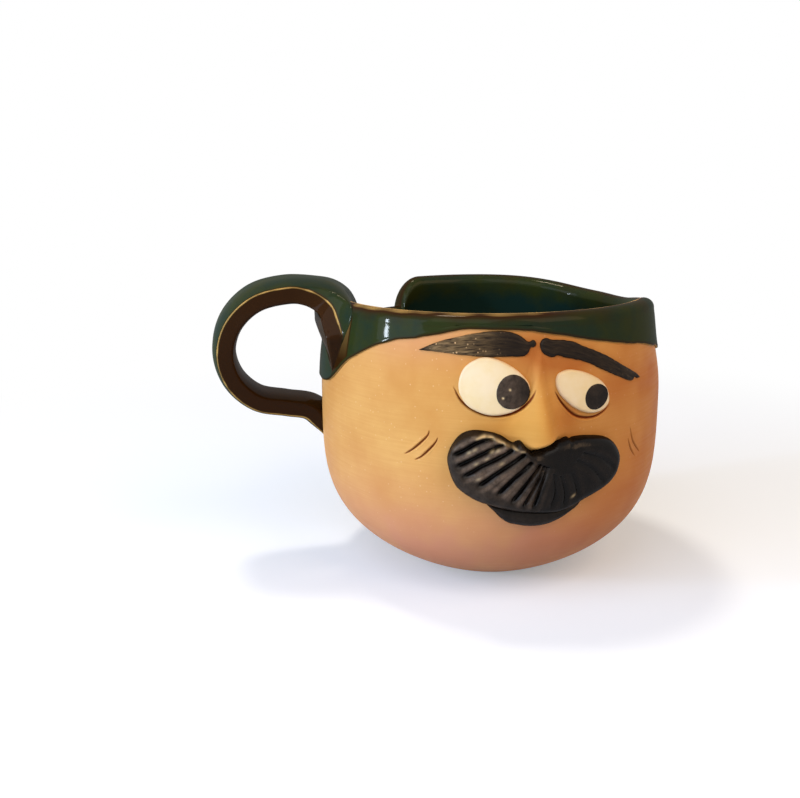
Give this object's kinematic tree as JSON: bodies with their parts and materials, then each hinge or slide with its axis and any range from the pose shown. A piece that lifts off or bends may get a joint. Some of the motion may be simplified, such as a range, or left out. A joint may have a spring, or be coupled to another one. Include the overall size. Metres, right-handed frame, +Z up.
{
  "type": "clay cup",
  "caption": "Hand-made terracotta cup with a pinched lip, green glaze, a finger-ring handle and a comic moustached face in applied clay.",
  "frame": {"origin": "middle of the flat foot, on the surface that the cup stands on", "axes": "+Z up, the face looks along -Y, the handle is on the -X side, at the viewer's left"},
  "size_m": [0.1001, 0.0816, 0.0658],
  "materials": {
    "terracotta": "burnished, unglazed",
    "green_glaze": "gloss",
    "white_clay": "satin",
    "black_clay": "satin",
    "black_slip": "brushed, matt"
  },
  "bodies": {
    "root": {"cup_body": "terracotta", "green_glaze": "green_glaze", "handle": "green_glaze", "nose": "terracotta", "eye_white_left": "white_clay", "eye_white_right": "white_clay", "pupil_left": "black_clay", "pupil_right": "black_clay", "brow_left": "black_slip", "brow_right": "black_slip", "moustache": "black_clay", "lower_lip": "black_clay"}
  },
  "joints": []
}
